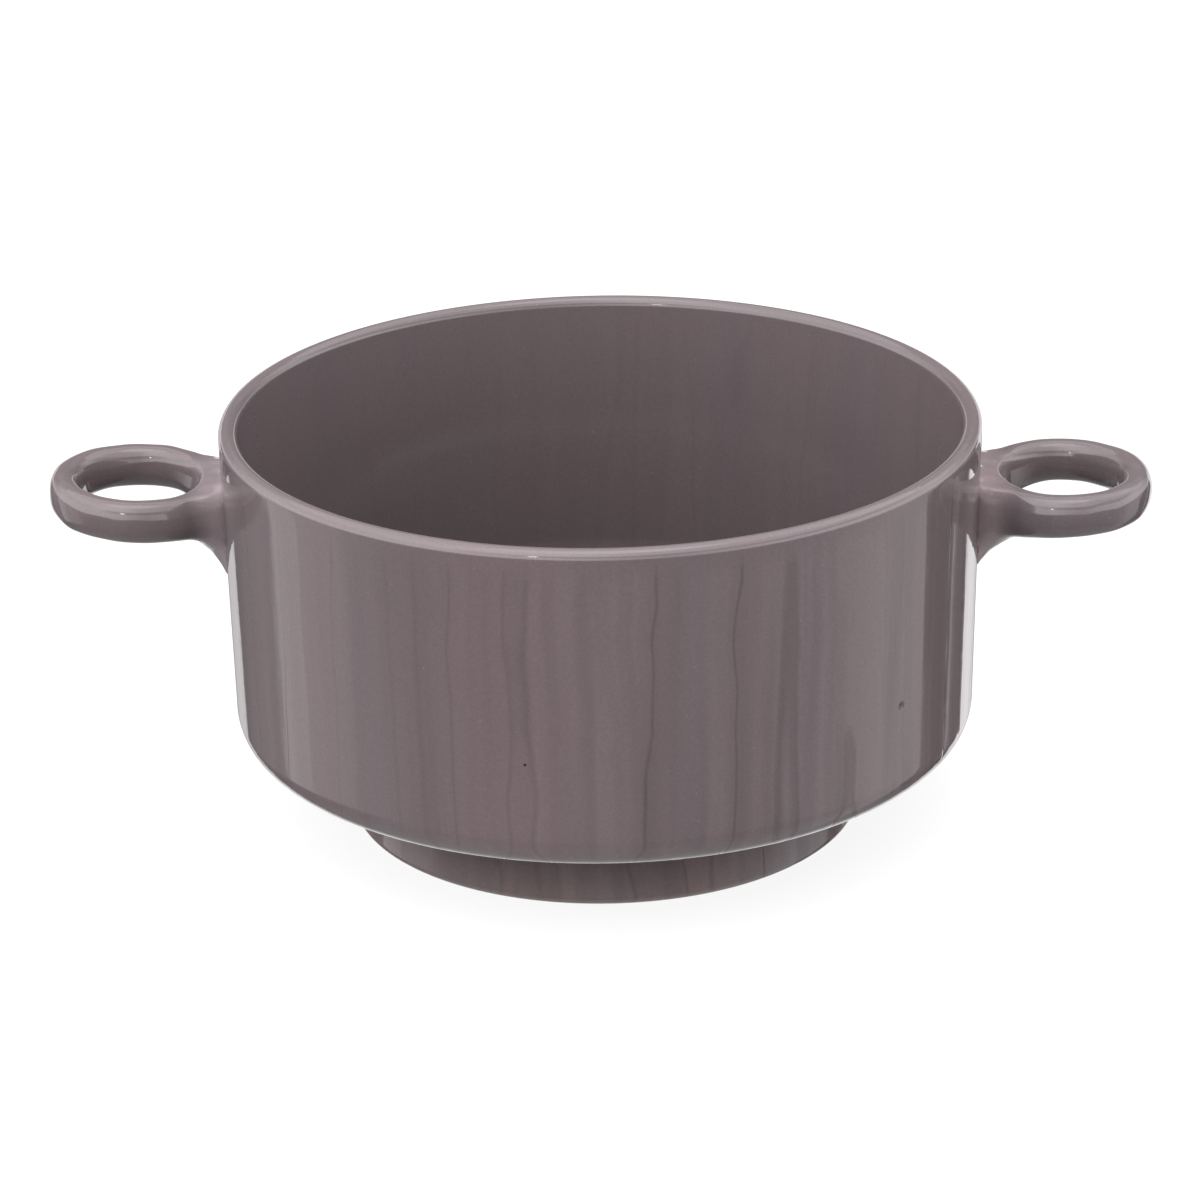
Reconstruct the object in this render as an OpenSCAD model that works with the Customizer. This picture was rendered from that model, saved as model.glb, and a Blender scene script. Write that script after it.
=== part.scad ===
// Soup crock in glazed stoneware: a round bowl on a turned foot ring, with an oval loop handle on each side.
// Sizes are in millimetres. Z is up, and the origin is the middle of the foot, on the table.

/* [Bowl] */
// Outside diameter of the rim
rim_d = 126; // [90:1:180]
// Height of the rim above the table
crock_h = 69.6; // [50:0.1:120]
// Thickness of the wall at the rim, which ends in a full round
rim_wall = 3.2; // [2.4:0.1:6]
// Thickness of the wall low down, where the inside corner begins
base_wall = 5; // [3:0.1:9]
// Thickness of the floor
floor_t = 6; // [3:0.1:10]
// How far the outside draws in, on the radius, from the rim to the lower edge
draw_in = 1; // [0:0.1:4]
// Height of the lower edge of the wall above the table
edge_h = 14.6; // [8:0.1:30]
// Rounding of the lower edge of the wall
edge_round = 5.8; // [3:0.1:12]
// Rounding of the corner inside, between wall and floor
inside_round = 11; // [5:0.5:20]

/* [Foot ring] */
// Outside diameter of the foot where it stands
foot_d = 86.1; // [60:0.1:100]
// Thickness of the foot where it stands
foot_wall = 5; // [3.6:0.1:9]
// Slope of the outside of the foot from upright, in degrees
foot_slope = 6; // [0:0.5:15]
// Rounding of the two edges that the foot stands on
foot_round = 1.5; // [0.4:0.1:1.8]
// Fillet at the top of the foot, on both sides
foot_fillet = 3; // [1:0.1:5]
// How far the flat under the floor lies below the lower edge of the wall
floor_drop = 2.5; // [1:0.1:6]
// Width of the flat that is left round the top of the foot
flat_margin = 1.5; // [0.5:0.1:4]

/* [Handles] */
// Outside width of a loop, along the wall
loop_w = 32.3; // [26:0.1:44]
// Outside length of a loop, out from the wall
loop_l = 30.1; // [24:0.1:40]
// Thickness of the band that makes a loop, seen from above
band_t = 5.4; // [4:0.1:8]
// Height of the band
band_h = 7.2; // [5:0.1:12]
// Squareness of the band's section, where 2 is an ellipse
band_power = 2.4; // [2:0.1:4]
// How far a loop's own outline runs into the wall
loop_set_in = 1.25; // [0:0.05:3]
// Drop from the rim to the middle of the left handle, at the wall
left_drop = 13.7; // [12:0.1:30]
// Drop from the rim to the middle of the right handle, at the wall
right_drop = 14.7; // [12:0.1:30]
// Slope of the left handle, upwards from the wall, in degrees
left_lift = 3.5; // [-3:0.1:8]
// Slope of the right handle, upwards from the wall, in degrees
right_lift = 0.5; // [-3:0.1:8]

/* [Handle roots] */
// How far the left root runs down the wall below the band
left_flare = 10.4; // [2:0.1:16]
// Distance from the wall at which the left flare below begins
left_reach = 11; // [4:0.1:24]
// How far the right root runs down the wall below the band
right_flare = 9.7; // [2:0.1:16]
// Distance from the wall at which the right flare below begins
right_reach = 18; // [4:0.1:24]
// How far the root runs up the wall above the band
flare_above = 3.5; // [0.5:0.1:6]
// Distance from the wall at which the flare above begins
reach_above = 9; // [3:0.1:14]
// How strongly the root spreads sideways at the wall
flare_side = 5; // [3:0.1:12]
// Distance from the wall at which the sideways spread begins
reach_side = 5; // [3:0.1:12]
// Distance from the root's sides over which the flares above and below come in
flare_fade = 8; // [4:0.1:20]
// Gap that the luting slip fills between a root and the wall
slip_gap = 0.05; // [0.02:0.01:0.3]

/* [Hidden] */
$fn = 128;
CLAY = "#76686b";
HANDLE_CLAY = "#7d6f71";

// Bowl
rim_r = rim_d / 2;
lip_round = rim_wall / 2;
lip_h = crock_h - lip_round;
edge_r = rim_r - draw_in;
edge_centre = [edge_r - edge_round, edge_h + edge_round];

// Foot ring
foot_h = edge_h - floor_drop;
floor_h = foot_h + floor_t;
foot_r = foot_d / 2;
foot_bore_r = foot_r - foot_wall;
foot_side = [foot_r - foot_round * (1 - cos(foot_slope)), foot_round * (1 + sin(foot_slope))];
foot_neck_h = foot_h - foot_fillet;
foot_neck_r = foot_side.x - (foot_neck_h - foot_side.y) * tan(foot_slope);
foot_top_r = foot_side.x - (foot_h - foot_side.y) * tan(foot_slope);
flat_r = foot_neck_r + foot_fillet + flat_margin;

// Underside: the line from the edge of the flat that just touches the rounded lower edge
flat_edge = [flat_r, foot_h];
to_edge = edge_centre - flat_edge;
touch_angle = atan2(to_edge.y, to_edge.x) - asin(edge_round / norm(to_edge));
touch_length = sqrt(to_edge * to_edge - edge_round * edge_round);
touch_point = flat_edge + touch_length * [cos(touch_angle), sin(touch_angle)];

// Handle grid: lines round the loop, crowded at the root, and points round each line's section
LINES = 72;
POINTS = 36;
CROWDING = 25;
SEAT_TURN = 40;
FAR = 1000;
band_r = band_t / 2;
mid_l = loop_l / 2 - band_r;
mid_w = loop_w / 2 - band_r;
root_depth = flare_side + loop_set_in;

// Outside radius of the wall at a height
function wall_r(z) = rim_r - draw_in * (lip_h - z) / (lip_h - edge_h);

// 0 at an edge of the band, rising to 1 half a band further in
function rounding(e) = pow(1 - pow(1 - min(1, max(0, e / band_r)), band_power), 1 / band_power);

// A quarter of an ellipse that meets the wall at full size and fades to nothing at the reach
function flare(d, size, reach) =
    let (t = min(1, max(0, 1 - d / reach)))
    size * (1 - sqrt(1 - t * t));

// How far the flares have come in at a distance from the root's side, and 1 in the middle of the root
function comes_in(e) = sin(90 * min(1, max(0, e / flare_fade)));
function fade(e) = comes_in(e) / comes_in(root_depth);

// How far the loop's outer edge is let out at a distance from the wall
function spread(d) = flare_side * pow(max(0, 1 - max(0, d) / reach_side), 2);

// Plan angle of a line, from the root round the loop
function line_angle(i) = 360 * i / LINES - CROWDING * sin(360 * i / LINES);

// Plan direction of a line, which points at the bowl at 0 degrees
function heading(u) = [-cos(u), sin(u)];

// Where a line crosses the middle of the band
function line_mid(u, centre) = [centre - mid_l * cos(u), mid_w * sin(u)];

// Distance along a line from the middle of the band to the wall
function to_wall(p, u, r) =
    let (along = -p * heading(u), square = along * along - p * p + r * r)
    square > 0 && cos(u) > 0 ? along - sqrt(square) : FAR;

// Distance along a line from the middle of the band to the loop's outer edge, let out near the wall
function to_edge_of_loop(p, u, r) = band_r + spread(norm(p + band_r * heading(u)) - r);

// One point of the skin: v is 0 on the wall side, 180 at the finger hole, and the upper half comes first
function skin_point(p, u, v, r, edge, wall, h, lift, below) =
    let (
        seated = edge >= wall,
        seat_turn = 1 + SEAT_TURN * fade(edge - wall),
        up = v < 180,
        turn = up ? v : 360 - v,
        path = sin(90 * min(1, (180 - turn) / (180 - seat_turn))),
        c = cos(v),
        across = sign(c) * pow(abs(c), 2 / band_power),
        free_w = (edge * (1 + across) - band_r * (1 - across)) / 2,
        seated_w = (wall + band_r) * path * path - band_r,
        w = seated ? seated_w : free_w,
        xy = p + w * heading(u),
        d = max(0, norm(xy) - r),
        inner = rounding(w + band_r),
        body = band_h / 2 * min(inner, rounding(edge - w)),
        extra = up ? flare(d, flare_above, reach_above) : flare(d, below[0], below[1]),
        share = seated ? min(1, turn / seat_turn) : 1,
        z = (up ? 1 : -1) * share * (body + extra * inner * fade(edge - w)),
        taper = wall_r(h + z) / wall_r(h)
    )
    [xy.x * taper, xy.y * taper, h + z + d * tan(lift)];

// The points of one line's section
function skin_line(u, h, lift, below) =
    let (
        r = wall_r(h) + slip_gap,
        p = line_mid(u, r - loop_set_in + loop_l / 2),
        edge = to_edge_of_loop(p, u, r),
        wall = to_wall(p, u, r)
    )
    [for (j = [0:POINTS - 1]) skin_point(p, u, 360 * j / POINTS, r, edge, wall, h, lift, below)];

// Outline of the bowl from the middle to the outside, filled
module outside_profile() {
    translate([rim_r - lip_round, lip_h])
        circle(lip_round);
    translate(edge_centre)
        circle(edge_round);
    polygon([
        [0, foot_h],
        flat_edge,
        touch_point,
        [edge_r, edge_centre.y],
        [rim_r, lip_h],
        [0, lip_h]
    ]);
}

// The space that holds the soup
module inside_profile() {
    corner_h = floor_h + inside_round;
    corner_r = wall_r(corner_h) - base_wall;
    translate([corner_r - inside_round, corner_h])
        circle(inside_round);
    polygon([
        [0, floor_h],
        [corner_r - inside_round, floor_h],
        [corner_r, corner_h],
        [rim_r - rim_wall, lip_h],
        [rim_r - rim_wall, crock_h + rim_wall],
        [0, crock_h + rim_wall]
    ]);
}

// A quarter-round fillet in the corner between an upright side and the flat above it
module fillet_profile(side_r, out) {
    translate([side_r, foot_h])
        mirror([out ? 0 : 1, 0])
            difference() {
                translate([-foot_round, -foot_fillet])
                    square([foot_fillet + foot_round, foot_fillet]);
                translate([foot_fillet, -foot_fillet])
                    circle(foot_fillet);
            }
}

// Section of the foot ring
module foot_profile() {
    translate([foot_r - foot_round, foot_round])
        circle(foot_round);
    translate([foot_bore_r + foot_round, foot_round])
        circle(foot_round);
    polygon([
        [foot_bore_r + foot_round, 0],
        [foot_r - foot_round, 0],
        foot_side,
        [foot_top_r, foot_h],
        [foot_bore_r, foot_h],
        [foot_bore_r, foot_round]
    ]);
    fillet_profile(foot_neck_r, true);
    fillet_profile(foot_bore_r, false);
}

// A loop handle on the +X side, its root cut to the curve of the wall; below is the flare's size and reach
module loop_handle(h, lift, below) {
    skin = [for (i = [0:LINES - 1]) each skin_line(line_angle(i), h, lift, below)];
    faces = [
        for (i = [0:LINES - 1], j = [0:POINTS - 1])
            let (
                i2 = (i + 1) % LINES,
                j2 = (j + 1) % POINTS,
                a = i * POINTS + j,
                b = i2 * POINTS + j,
                c = i2 * POINTS + j2,
                d = i * POINTS + j2
            )
            each [[a, b, c], [a, c, d]]
    ];
    polyhedron(skin, faces);
}

module bowl_body() {
    color(CLAY)
        rotate_extrude()
            difference() {
                outside_profile();
                inside_profile();
            }
}

module foot_ring() {
    color(CLAY)
        rotate_extrude()
            foot_profile();
}

module left_handle() {
    color(HANDLE_CLAY)
        mirror([1, 0, 0])
            loop_handle(crock_h - left_drop, left_lift, [left_flare, left_reach]);
}

module right_handle() {
    color(HANDLE_CLAY)
        loop_handle(crock_h - right_drop, right_lift, [right_flare, right_reach]);
}

bowl_body();
foot_ring();
left_handle();
right_handle();
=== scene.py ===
import math

import bpy
from mathutils import Matrix, Vector


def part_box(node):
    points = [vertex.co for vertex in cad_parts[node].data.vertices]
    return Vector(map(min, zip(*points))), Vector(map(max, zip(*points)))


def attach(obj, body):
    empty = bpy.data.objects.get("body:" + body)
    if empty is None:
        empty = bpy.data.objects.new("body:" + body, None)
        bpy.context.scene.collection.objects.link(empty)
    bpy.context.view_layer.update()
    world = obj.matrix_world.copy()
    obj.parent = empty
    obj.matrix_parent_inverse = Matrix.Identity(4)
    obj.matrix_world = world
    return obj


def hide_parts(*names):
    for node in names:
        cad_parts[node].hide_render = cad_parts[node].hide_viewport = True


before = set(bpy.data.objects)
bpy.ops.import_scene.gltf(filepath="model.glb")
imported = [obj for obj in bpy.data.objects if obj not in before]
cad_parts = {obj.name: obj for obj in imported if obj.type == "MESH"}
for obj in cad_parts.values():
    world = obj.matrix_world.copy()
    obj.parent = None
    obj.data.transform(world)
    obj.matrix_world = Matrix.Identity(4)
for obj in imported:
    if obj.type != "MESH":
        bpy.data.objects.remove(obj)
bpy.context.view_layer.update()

# Soup crock in grey glazed stoneware: a turned bowl on a foot ring, with a hand-fixed loop handle on each side.
# Lengths in the tables are in millimetres, and MM takes them to the scene's metres.

MM = 0.001
bowl_low, bowl_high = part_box("bowl_body")

# Bowl, as in the part's source, but with a tighter corner inside, so that no floor shows over the near lip
rim_r = (bowl_high.y - bowl_low.y) / 2 / MM
crock_h = bowl_high.z / MM
lip_round = 1.6
lip_h = crock_h - lip_round
base_wall = 5.0
floor_t = 6.0
draw_in = 1.0
edge_h = 14.6
edge_round = 5.8
edge_mid = (rim_r - draw_in - edge_round, edge_h + edge_round)
inside_round = 7.5

# Foot ring, as in the part's source, and the height up to which its standing edge is wiped clean of glaze
foot_h = bowl_low.z / MM
foot_r = 43.05
foot_bore_r = 38.05
foot_round = 1.5
foot_slope = math.radians(6)
foot_fillet = 3.0
flat_margin = 1.5
wiped_h = 0.4

# Handles, as in the part's source: height of the band, then each one's drop from the rim and its slope
band_h = 7.2
left_drop, left_lift = 13.7, math.radians(3.5)
right_drop, right_lift = 14.7, math.radians(0.5)

# Handle roots: the gap to the wall that tells a seat's points from the rest, how far the seat is sunk into the wall,
# how much of the rise above the band stays, and how far out from the wall the lumps of the joint reach
seat_gap = 0.09
root_depth = 1.2
root_rise = 0.25
joint_reach = 7

# Marks of the maker's hands on the handles: dents of the fingers all over, which break up the highlights, and lumps
# of the slip that fixed the root. Width, depth, the share of it that is pressed in, and the points that it is kept to
HAND_MARKS = {"finger_dents": (5, 0.25, 0.8, ""), "slip_lumps": (3, 0.35, 0.5, "joint")}

# How finely the turned pieces are drawn: millimetres along a line, degrees round an arc, steps round the axis, and
# the angle between faces up to which an edge looks smooth
LINE_STEP = 2.5
ARC_STEP = 6.0
SPOKES = 288
SMOOTH_EDGE = math.radians(40)


def wall_r(z):
    """Outside radius of the wall at a height."""
    return rim_r - draw_in * (lip_h - z) / (lip_h - edge_h)


def linear(code):
    """An sRGB hex colour as linear red, green, blue and alpha."""
    parts = [int(code[i:i + 2], 16) / 255 for i in (1, 3, 5)]
    return [p / 12.92 if p <= 0.04045 else ((p + 0.055) / 1.055) ** 2.4 for p in parts] + [1.0]


def per_mm(size):
    """The texture scale whose features are this many millimetres across."""
    return 1 / (size * MM)


def add(tree, kind, settings=None, links=None):
    """One node with its settings and links; a key that names or numbers a socket sets the socket."""
    node = tree.nodes.new(kind)
    for key, value in (settings or {}).items():
        if isinstance(key, int) or key in node.inputs:
            node.inputs[key].default_value = value
        else:
            setattr(node, key, value)
    for key, source in (links or {}).items():
        tree.links.new(source, node.inputs[key])
    return node


def turn(name, start, moves):
    """A piece turned on the wheel: half its outline is drawn from a single point, then spun about the axis.
    A move of two numbers is a line to that point, and one of three is a swing about a centre in degrees."""
    bpy.ops.object.select_all(action="DESELECT")
    bpy.ops.mesh.primitive_plane_add(size=MM)
    piece = bpy.context.object
    piece.name = piece.data.name = name
    bpy.ops.object.mode_set(mode="EDIT")
    bpy.ops.mesh.merge(type="CENTER")
    x, z = start
    bpy.ops.transform.translate(value=(x * MM, 0, z * MM))
    for move in moves:
        if len(move) == 2:
            across, up = move[0] - x, move[1] - z
            count = max(1, round(math.hypot(across, up) / LINE_STEP))
            step = (across / count * MM, 0, up / count * MM)
            for _ in range(count):
                bpy.ops.mesh.extrude_vertices_move(TRANSFORM_OT_translate={"value": step})
            x, z = move
        else:
            mid_x, mid_z, swing = move
            count = max(2, round(abs(swing) / ARC_STEP))
            middle = (mid_x * MM, 0, mid_z * MM)
            bpy.ops.mesh.spin(steps=count, angle=math.radians(swing), center=middle, axis=(0, 1, 0))
            away = Matrix.Rotation(math.radians(swing), 2) @ Vector((x - mid_x, z - mid_z))
            x, z = mid_x + away.x, mid_z + away.y
    bpy.ops.mesh.select_all(action="SELECT")
    bpy.ops.mesh.spin(steps=SPOKES, angle=math.tau, center=(0, 0, 0), axis=(0, 0, 1))
    bpy.ops.mesh.select_all(action="SELECT")
    bpy.ops.mesh.remove_doubles(threshold=0.002 * MM)
    bpy.ops.mesh.normals_make_consistent(inside=False)
    bpy.ops.object.mode_set(mode="OBJECT")
    bpy.ops.object.shade_smooth_by_angle(angle=SMOOTH_EDGE)
    return piece


# The neck of the foot, and the sloping underside that just touches the rounded lower edge of the wall
foot_side = (
    foot_r - foot_round * (1 - math.cos(foot_slope)),
    foot_round * (1 + math.sin(foot_slope)),
)
neck_h = foot_h - foot_fillet
neck_r = foot_side[0] - (neck_h - foot_side[1]) * math.tan(foot_slope)
flat_edge = (neck_r + foot_fillet + flat_margin, foot_h)
to_edge = Vector(edge_mid) - Vector(flat_edge)
under_slope = math.atan2(to_edge.y, to_edge.x) - math.asin(edge_round / to_edge.length)
under_length = math.sqrt(to_edge.length ** 2 - edge_round ** 2)
under_end = (
    flat_edge[0] + under_length * math.cos(under_slope),
    flat_edge[1] + under_length * math.sin(under_slope),
)

# Bowl: from the middle of the underside out, up the wall, over the lip and down to the middle of the floor
corner_h = foot_h + floor_t + inside_round
corner_r = wall_r(corner_h) - base_wall
bowl = turn("crock_bowl", (0, foot_h), [
    flat_edge,
    under_end,
    (*edge_mid, 90 - math.degrees(under_slope)),
    (rim_r, lip_h),
    (rim_r - lip_round, lip_h, 180),
    (corner_r, corner_h),
    (corner_r - inside_round, corner_h, -90),
    (0, corner_h - inside_round),
])

# Foot ring: from the top of the outer fillet down the outside, under the standing edge and up the bore
foot = turn("crock_foot", (neck_r + foot_fillet, foot_h), [
    (neck_r + foot_fillet, neck_h, 90),
    foot_side,
    (foot_r - foot_round, foot_round, -90 - math.degrees(foot_slope)),
    (foot_bore_r + foot_round, 0),
    (foot_bore_r + foot_round, foot_round, -90),
    (foot_bore_r, neck_h),
    (foot_bore_r - foot_fillet, neck_h, 90),
    (neck_r + foot_fillet, foot_h),
])


def handle(name, node, drop, lift):
    """A loop handle on the lines of its solid. The top of its root is pressed down level with the band, the root is
    sunk into the wall, the skin is smoothed, and the clay keeps the marks of the maker's hands."""
    bpy.ops.object.select_all(action="DESELECT")
    piece = bpy.data.objects.new(name, bpy.data.objects[node].data.copy())
    piece.data.name = name
    piece.data.materials.clear()
    bpy.context.collection.objects.link(piece)
    piece.select_set(True)
    bpy.context.view_layer.objects.active = piece
    bpy.ops.object.mode_set(mode="EDIT")
    bpy.ops.mesh.select_all(action="SELECT")
    bpy.ops.mesh.remove_doubles(threshold=0.01 * MM)
    bpy.ops.mesh.normals_make_consistent(inside=False)
    bpy.ops.mesh.tris_convert_to_quads(face_threshold=math.radians(60), shape_threshold=math.radians(80))
    bpy.ops.mesh.select_all(action="DESELECT")
    bpy.ops.object.mode_set(mode="OBJECT")
    joint = piece.vertex_groups.new(name="joint")
    for point in piece.data.vertices:
        x, y, z = point.co / MM
        out = math.hypot(x, y) - wall_r(z)
        band_top = crock_h - drop + max(0, out) * math.tan(lift) + band_h / 2
        if z > band_top:
            point.co.z = (band_top + root_rise * (z - band_top)) * MM
        point.select = out < seat_gap
        joint.add([point.index], max(0, 1 - out / joint_reach), "REPLACE")
    bpy.ops.object.mode_set(mode="EDIT")
    sink = 1 - root_depth / rim_r
    bpy.ops.transform.resize(value=(sink, sink, 1), center_override=(0, 0, 0))
    bpy.ops.object.mode_set(mode="OBJECT")
    rounder = piece.modifiers.new("soft_clay", "SUBSURF")
    rounder.levels = rounder.render_levels = 2
    bpy.ops.object.modifier_apply(modifier=rounder.name)
    for mark, (width, depth, pressed_in, points) in HAND_MARKS.items():
        clay = bpy.data.textures.new(mark, "CLOUDS")
        clay.noise_scale = width * MM
        clay.noise_depth = 0
        dents = piece.modifiers.new(mark, "DISPLACE")
        dents.texture = clay
        dents.strength = depth * MM
        dents.mid_level = pressed_in
        dents.vertex_group = points
        bpy.ops.object.modifier_apply(modifier=dents.name)
    bpy.ops.object.shade_smooth()
    return piece


left = handle("crock_handle_left", "left_handle", left_drop, left_lift)
right = handle("crock_handle_right", "right_handle", right_drop, right_lift)

# How the glaze ran: how far a run sways and over what length, how many times longer than wide it is, in how many
# steps its edges left a line, and how far below the lip it begins
SWAY, SWAY_LENGTH = 1.8, 16
DRAWN_OUT = 50
EDGE_STEPS = 5.0
RUNS_BEGIN = 4

# From left to right, the glaze lay thicker and its runs are stronger: between which places, and how strong at each
THIN_SIDE, THICK_SIDE = (-30, 0.4), (25, 1.5)

# Values between which most of a soft noise lies, and most of one with finer detail
SOFT_NOISE = (0.36, 0.64)
FINE_NOISE = (0.3, 0.7)

# Small faults that the firing left in the wall's glaze: place, radius, how far it stands out, negative for a pit, and
# how much of the colour is left in its middle
FAULTS = [
    ((47.5, -40.4, 33.5), 0.8, -0.25, 0.7),
    ((-12.6, -61.0, 33.5), 0.3, 0.02, 0.1),
    ((-26.2, -56.5, 19.3), 0.4, 0.12, 1.0),
    ((-25.0, -57.0, 19.3), 0.35, 0.1, 1.0),
    ((-27.4, -55.9, 19.4), 0.35, 0.1, 1.0),
]

# Painted light that makes the glaze paler by place, a painted highlight over each handle's root and painted light low
# on the foot: along which axes that is measured, where it begins and ends, and how pale it gets there
ROOT_PAINTED_HIGHLIGHT = ((1, 1, 0), rim_r + 6, rim_r, 2.2)
FOOT_PAINTED_LIGHT = ((0, 0, 1), 9, 1, 1.85)


def unpainted(name):
    """A new material with an empty tree, and each point's place on its piece."""
    material = bpy.data.materials.new(name)
    material.use_nodes = True
    tree = material.node_tree
    tree.nodes.clear()
    return material, tree, add(tree, "ShaderNodeTexCoord").outputs["Object"]


def glaze(name, warm, cool, flutes, ran, faults=(), painted_light=None):
    """Grey stoneware glaze, dipped and fired glossy. It ran before it set, so the eye sees soft upright stripes, a
    few fine wavy dark lines at the edges of the runs, and a colour that is warmer where the glaze lay thinly and
    cooler where it pooled. The depth of the flutes is in millimetres, and ran is how strongly the runs colour it.
    Painted light makes it paler by place where it is given: a painted highlight over a handle's root, painted light
    low on the foot."""
    material, tree, place = unpainted(name)

    # Noise with the width of each mark in millimetres: the glaze ran straight down and swayed a little, so the noise
    # of the runs, of the lines at their edges and of the pools is drawn out
    sway = add(tree, "ShaderNodeTexNoise", {"Scale": per_mm(SWAY_LENGTH), "Detail": 1.0}, {"Vector": place})
    swayed = add(
        tree, "ShaderNodeVectorMath", {"operation": "MULTIPLY_ADD", 1: (SWAY * MM, SWAY * MM, 0)},
        {0: sway.outputs["Color"], 2: place},
    )
    drawn = add(
        tree, "ShaderNodeMapping", {"Scale": (1, 1, 1 / DRAWN_OUT)}, {"Vector": swayed.outputs["Vector"]}
    ).outputs["Vector"]
    noises = {}
    for mark, width, detail, where in (
        ("runs", 4.5, 2.0, drawn),
        ("edges", 18, 1.0, drawn),
        ("pools", 26, 1.0, drawn),
        ("peel", 2, 1.0, place),
        ("grain", 0.45, 2.0, place),
    ):
        settings = {"Scale": per_mm(width), "Detail": detail}
        noises[mark] = add(tree, "ShaderNodeTexNoise", settings, {"Vector": where}).outputs["Fac"]

    # Thin lines at the edges of the runs: where a slow noise passes one of its steps
    edge = noises["edges"]
    for step in (
        {"operation": "MULTIPLY", 1: EDGE_STEPS},
        {"operation": "FRACT"},
        {"operation": "SUBTRACT", 1: 0.5},
        {"operation": "ABSOLUTE"},
    ):
        edge = add(tree, "ShaderNodeMath", step, {0: edge}).outputs["Value"]

    # Stripes and lines, each from its noise, both stronger where the glaze lay thicker, and gone at the lip, where it
    # ran off
    axes = add(tree, "ShaderNodeSeparateXYZ", None, {"Vector": place})
    (left_end, weak), (right_end, strong) = THIN_SIDE, THICK_SIDE
    limits = {"From Min": left_end * MM, "From Max": right_end * MM, "To Min": weak, "To Max": strong}
    side = add(tree, "ShaderNodeMapRange", limits, {"Value": axes.outputs["X"]})
    limits = {"From Min": lip_h * MM, "From Max": (lip_h - RUNS_BEGIN) * MM}
    down = add(tree, "ShaderNodeMapRange", limits, {"Value": axes.outputs["Z"]})
    links = {0: side.outputs["Result"], 1: down.outputs["Result"]}
    strength = add(tree, "ShaderNodeMath", {"operation": "MULTIPLY"}, links).outputs["Value"]
    marks = []
    for source, low, high, at_low in ((noises["runs"], *SOFT_NOISE, -1.0), (edge, 0.06, 0.0, 0.0)):
        limits = {"From Min": low, "From Max": high, "To Min": at_low}
        mark = add(tree, "ShaderNodeMapRange", limits, {"Value": source})
        links = {0: mark.outputs["Result"], 1: strength}
        marks.append(add(tree, "ShaderNodeMath", {"operation": "MULTIPLY"}, links).outputs["Value"])
    stripes, lines = marks

    # What each layer does to the colour between two of its values, and the bumps, in millimetres, that lie on each
    # other; pale pinholes are a few millimetres apart
    pinholes = add(tree, "ShaderNodeTexVoronoi", {"Scale": per_mm(4)}, {"Vector": place}).outputs["Distance"]
    layers = [
        (stripes, -1.0, 1.0, 1 - ran, 1 + ran),
        (lines, 0.0, 1.0, 1.0, 1 - 2 * ran),
        (noises["grain"], *FINE_NOISE, 0.94, 1.06),
        (pinholes, 0.045, 0.03, 1.0, 1.4),
    ]
    bumps = [(noises["runs"], flutes), (lines, -0.3 * flutes), (noises["peel"], 0.006), (noises["grain"], 0.001)]
    for spot, radius, stands, middle in faults:
        centre = [length * MM for length in spot]
        away = add(tree, "ShaderNodeVectorMath", {"operation": "DISTANCE", 1: centre}, {0: place}).outputs["Value"]
        dome = add(tree, "ShaderNodeMapRange", {"From Min": radius * MM, "From Max": 0.0}, {"Value": away})
        layers.append((dome.outputs["Result"], 0.0, 0.5, 1.0, middle))
        bumps.append((dome.outputs["Result"], stands))
    # Painted light: the colour is painted paler by place, a painted highlight over a handle's root and painted light
    # low on the foot
    if painted_light:
        kept_axes, begins, ends, pale = painted_light
        flat = add(tree, "ShaderNodeVectorMath", {"operation": "MULTIPLY", 1: kept_axes}, {0: place})
        away = add(tree, "ShaderNodeVectorMath", {"operation": "LENGTH"}, {0: flat.outputs["Vector"]})
        layers.append((away.outputs["Value"], begins * MM, ends * MM, 1.0, pale))

    # Colour from the pools and every layer, bumps one on the other, and a gloss that the peel makes a little uneven
    thin_end, pooled_end = SOFT_NOISE
    tint = add(tree, "ShaderNodeMapRange", {"From Min": thin_end, "From Max": pooled_end}, {"Value": noises["pools"]})
    colour = add(
        tree, "ShaderNodeMix", {"data_type": "RGBA", 6: linear(warm), 7: linear(cool)},
        {"Factor": tint.outputs["Result"]},
    ).outputs[2]
    for source, low, high, at_low, at_high in layers:
        limits = {"From Min": low, "From Max": high, "To Min": at_low, "To Max": at_high}
        shade = add(tree, "ShaderNodeMapRange", limits, {"Value": source})
        links = {"Vector": colour, "Scale": shade.outputs["Result"]}
        colour = add(tree, "ShaderNodeVectorMath", {"operation": "SCALE"}, links).outputs["Vector"]
    normal = None
    for height, depth in bumps:
        links = {"Height": height, "Normal": normal} if normal else {"Height": height}
        bump = add(tree, "ShaderNodeBump", {"Distance": abs(depth) * MM, "invert": depth < 0}, links)
        normal = bump.outputs["Normal"]
    low, high = FINE_NOISE
    limits = {"From Min": low, "From Max": high, "To Min": 0.04, "To Max": 0.09}
    gloss = add(tree, "ShaderNodeMapRange", limits, {"Value": noises["peel"]})
    skin = add(
        tree, "ShaderNodeBsdfPrincipled", {"IOR": 1.52},
        {"Base Color": colour, "Roughness": gloss.outputs["Result"], "Normal": normal},
    )
    add(tree, "ShaderNodeOutputMaterial", None, {"Surface": skin.outputs["BSDF"]})
    return material


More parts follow.
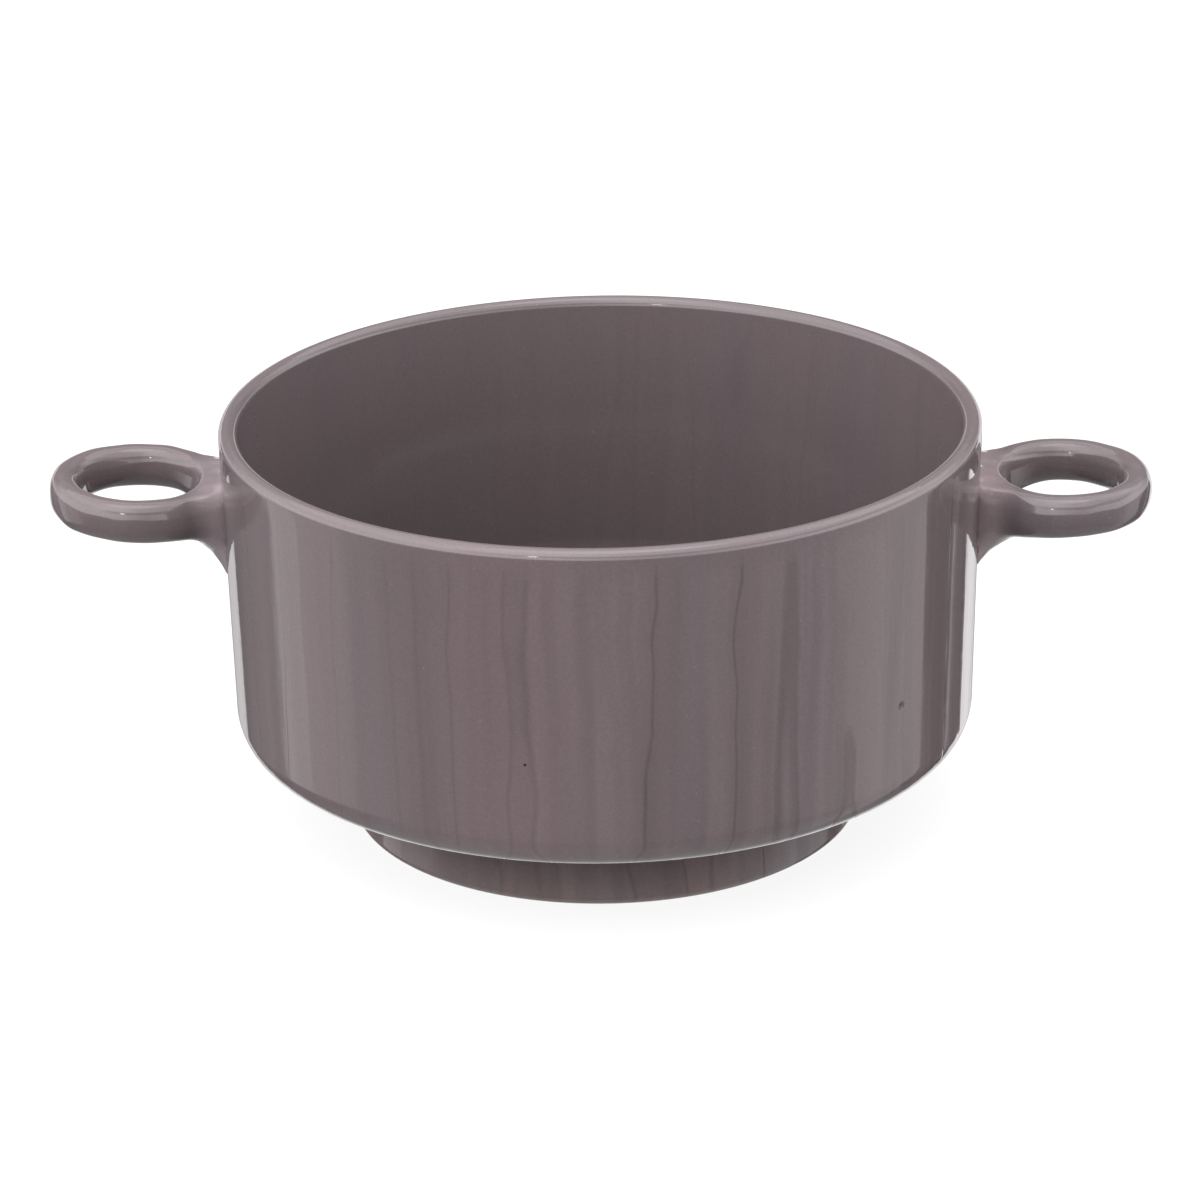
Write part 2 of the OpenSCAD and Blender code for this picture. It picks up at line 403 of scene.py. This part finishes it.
def bare_clay(name):
    """Stoneware body left dry where the foot stands: it was wiped clean of glaze, so it is pale, matt and gritty."""
    material, tree, place = unpainted(name)
    grit = add(tree, "ShaderNodeTexNoise", {"Scale": per_mm(0.6), "Detail": 3.0}, {"Vector": place}).outputs["Fac"]
    colours = {"data_type": "RGBA", 6: linear("#8f8278"), 7: linear("#b3a698")}
    colour = add(tree, "ShaderNodeMix", colours, {"Factor": grit}).outputs[2]
    rough = add(tree, "ShaderNodeBump", {"Distance": 0.05 * MM}, {"Height": grit}).outputs["Normal"]
    skin = add(tree, "ShaderNodeBsdfPrincipled", {"Roughness": 0.85}, {"Base Color": colour, "Normal": rough})
    add(tree, "ShaderNodeOutputMaterial", None, {"Surface": skin.outputs["BSDF"]})
    return material


wall_glaze = glaze("stoneware_glaze_run_down_the_wall", "#5e5354", "#5b5355", 0.08, 0.105, faults=FAULTS)
inside_glaze = glaze("stoneware_glaze_poured_inside", "#584f50", "#574f51", 0.01, 0.02)
# The handles' glaze is painted paler at the root by the wall: a painted highlight that also lifts the shade of the
# crease
handle_glaze_with_painted_highlight = glaze("stoneware_glaze_brushed_on_handles_painted_root_highlight", "#5c5152", "#595153", 0.01, 0.02, painted_light=ROOT_PAINTED_HIGHLIGHT)
# The foot's glaze is darker than the wall's, painted shade under the bowl's overhang, and is painted paler again
# towards the standing edge by painted light
foot_glaze_painted_shade = glaze("stoneware_glaze_round_the_foot_painted_shade", "#483f3f", "#453f40", 0.08, 0.09, painted_light=FOOT_PAINTED_LIGHT)
dry_foot = bare_clay("bare_stoneware_wiped_foot")
skins = {bowl: [wall_glaze, inside_glaze], foot: [foot_glaze_painted_shade, dry_foot], left: [handle_glaze_with_painted_highlight], right: [handle_glaze_with_painted_highlight]}
for piece, coats in skins.items():
    for coat in coats:
        piece.data.materials.append(coat)

# The inside of the bowl is what faces the axis, and the floor; the foot is dry where it stands
for face in bowl.data.polygons:
    outwards = face.normal.x * face.center.x + face.normal.y * face.center.y
    is_floor = face.normal.z > 0.9 and face.center.z < lip_h * MM
    face.material_index = int(outwards < -0.01 * MM or is_floor)
for face in foot.data.polygons:
    face.material_index = int(face.center.z < wiped_h * MM)

for piece, node in ((bowl, "bowl_body"), (foot, "foot_ring"), (left, "left_handle"), (right, "right_handle")):
    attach(piece, "root")
    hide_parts(node)

# Floor: a pale table that glows a little, so that the crock's shadow stays soft. It is left out of the crock's own
# light and reflections, which come from the studio below.
bpy.ops.object.select_all(action="DESELECT")
bpy.ops.mesh.primitive_plane_add(size=6)
floor = bpy.context.object
floor.name = "pale_floor"
floor.visible_glossy = False
floor.visible_diffuse = False
paint = bpy.data.materials.new("matt_white_table")
paint.use_nodes = True
table_top = paint.node_tree.nodes["Principled BSDF"].inputs
table_top["Base Color"].default_value = linear("#656565")
table_top["Roughness"].default_value = 1.0
table_top["Emission Color"].default_value = linear("#ffffff")
table_top["Emission Strength"].default_value = 0.85
floor.data.materials.append(paint)

# Studio: brightness by bearing round the crock, 0 degrees towards the camera and 90 to its right, in rings by the
# height in degrees at which each begins. The first ring is the table close in, which the foot and the rounded lower
# edge mirror, the second is the table further out, which the upright wall mirrors, the third is the horizon, which
# draws the thin bright line inside the lip, and the rest is the room.
STUDIO = {
    -90: [
        (-180, 1.4), (-160, 1.2), (-152, 0.8), (-150, 0.15), (-119, 0.15), (-88, 0.15), (-60, 0.12),
        (-18, 0.18), (18, 0.12), (52, 0.2), (79, 0.6), (97, 0.9), (115, 0.8), (117, 0.1), (148, 0.1), (152, 1.2),
        (180, 1.4),
    ],
    -30: [
        (-180, 0.2), (-170, 0.3), (-166, 0.7), (-160, 0.88), (-152, 1.2), (-150.5, 0.1), (-137, 0.25), (-120, 0.27),
        (-118.5, 1.15), (-107, 1.05), (-106, 1.6), (-105, 0.8), (-88, 0.75), (-76, 0.3), (-60, 0.1), (-18, 0.3),
        (18, 0.1), (52, 0.3), (79, 0.75), (97, 1.1), (115.5, 0.8), (116.5, 0.08), (132.5, 0.1), (133.6, 0.9),
        (134.7, 0.25), (146, 0.05), (148, 1.8), (154, 1.6), (160, 1.25), (166, 0.9), (170, 0.3), (180, 0.2),
    ],
    -3: [
        (-180, 1.3), (-140, 1.2), (-127, 1.4), (-112, 2.5), (-97, 3.0), (-79, 3.3), (-52, 3.6), (-17.5, 3.3),
        (0, 2.4), (17.5, 1.7), (52, 2.8), (79, 3.2), (97, 3.0), (112, 2.5), (127, 1.4), (140, 1.2), (180, 1.3),
    ],
    4: [
        (-180, 0.3), (-150, 0.3), (-127, 1.4), (-112, 2.5), (-97, 3.0), (-79, 3.3), (-52, 3.6), (-17.5, 3.3),
        (0, 2.4), (17.5, 1.7), (52, 2.8), (79, 3.2), (97, 3.0), (112, 2.5), (127, 1.4), (150, 0.3), (180, 0.3),
    ],
    22: [
        (-180, 0.45), (-150, 0.6), (-127, 1.9), (-97, 2.5), (-79, 2.8), (-52, 3.6), (-17.5, 1.6), (17.5, 0.4),
        (52, 1.0), (97, 1.5), (127, 2.3), (150, 0.6), (180, 0.45),
    ],
    38: [
        (-180, 1.6), (-150, 1.8), (-127, 2.4), (-79, 3.3), (-52, 4.0), (-17.5, 3.9), (17.5, 2.4), (79, 2.1),
        (127, 2.8), (150, 1.8), (180, 1.6),
    ],
    72: [(-180, 4.2), (180, 4.2)],
}

# How softly one ring goes over into the next, as a height on a ball of radius 1, and the heights there between which
# the table goes over into one even brightness underneath the crock
RING_BLUR = 0.02
UNDER_BEGINS, UNDER_ENDS = -0.58, -0.95

# Brightness underneath and of the backdrop behind the crock, the brightness that a ramp's full colour stands for, and
# the slight colour of the light
UNDERNEATH = 0.75
BACKDROP = 0.95
BRIGHTEST = 4.5
TINT = (1.025, 1.0, 1.015)

world = bpy.data.worlds.new("soft_studio")
bpy.context.scene.world = world
world.use_nodes = True
tree = world.node_tree
tree.nodes.clear()
axes = add(tree, "ShaderNodeSeparateXYZ", None, {"Vector": add(tree, "ShaderNodeTexCoord").outputs["Generated"]})
towards = add(tree, "ShaderNodeMath", {"operation": "MULTIPLY", 1: -1.0}, {0: axes.outputs["Y"]})
bearing = add(tree, "ShaderNodeMath", {"operation": "ARCTAN2"}, {0: axes.outputs["X"], 1: towards.outputs["Value"]})
limits = {"From Min": -math.pi, "From Max": math.pi}
along = add(tree, "ShaderNodeMapRange", limits, {"Value": bearing.outputs["Value"]})
studio_light = None
for height, ring in STUDIO.items():
    ramp = add(tree, "ShaderNodeValToRGB", None, {"Fac": along.outputs["Result"]})
    stops = ramp.color_ramp.elements
    while len(stops) < len(ring):
        stops.new(0.5)
    for stop, (angle, bright) in zip(stops, ring):
        stop.position = (angle + 180) / 360
        stop.color = [bright / BRIGHTEST * part for part in TINT] + [1]
    if studio_light is None:
        studio_light = ramp.outputs["Color"]
        continue
    start = math.sin(math.radians(height))
    limits = {"From Min": start - RING_BLUR, "From Max": start + RING_BLUR}
    rise = add(tree, "ShaderNodeMapRange", limits, {"Value": axes.outputs["Z"]})
    links = {"Factor": rise.outputs["Result"], 6: studio_light, 7: ramp.outputs["Color"]}
    studio_light = add(tree, "ShaderNodeMix", {"data_type": "RGBA"}, links).outputs[2]
limits = {"From Min": UNDER_BEGINS, "From Max": UNDER_ENDS}
under = add(tree, "ShaderNodeMapRange", limits, {"Value": axes.outputs["Z"]})
seen = add(tree, "ShaderNodeLightPath").outputs["Is Camera Ray"]
for share, bright in ((under.outputs["Result"], UNDERNEATH), (seen, BACKDROP)):
    plain = {"data_type": "RGBA", 7: [bright / BRIGHTEST] * 3 + [1]}
    studio_light = add(tree, "ShaderNodeMix", plain, {"Factor": share, 6: studio_light}).outputs[2]
glow = add(tree, "ShaderNodeBackground", {"Strength": BRIGHTEST}, {"Color": studio_light})
add(tree, "ShaderNodeOutputWorld", None, {"Surface": glow.outputs["Background"]})

# One small lamp to the left of the camera, which puts a spark on lip and handles
lamp_aim = Vector((0, 0, 0.055))
bulb = bpy.data.lights.new("small_lamp", "AREA")
bulb.shape = "RECTANGLE"
bulb.size, bulb.size_y = 0.06, 0.1
bulb.energy = 0.35
lamp = bpy.data.objects.new("small_lamp", bulb)
bpy.context.collection.objects.link(lamp)
lamp.location = (-0.312, -0.835, 0.505)
lamp.rotation_euler = (lamp_aim - lamp.location).to_track_quat("-Z", "Y").to_euler()
lamp.visible_camera = False

# Camera at the photograph's angle
ELEVATION = math.radians(22.134)
ROLL = math.radians(0.969)
DISTANCE = 753.5 * MM
camera_aim = Vector((-0.49 * MM, 0, 36.19 * MM))
lens = bpy.data.cameras.new("camera")
lens.sensor_width = 36
lens.lens = 134.6
lens.clip_start = 0.01
camera = bpy.data.objects.new("camera", lens)
bpy.context.collection.objects.link(camera)
stand = camera_aim + DISTANCE * Vector((0, -math.cos(ELEVATION), math.sin(ELEVATION)))
tilt = Matrix.Rotation(math.pi / 2 - ELEVATION, 4, "X") @ Matrix.Rotation(-ROLL, 4, "Z")
camera.matrix_world = Matrix.Translation(stand) @ tilt
bpy.context.scene.camera = camera
bpy.context.scene.view_settings.view_transform = "Standard"
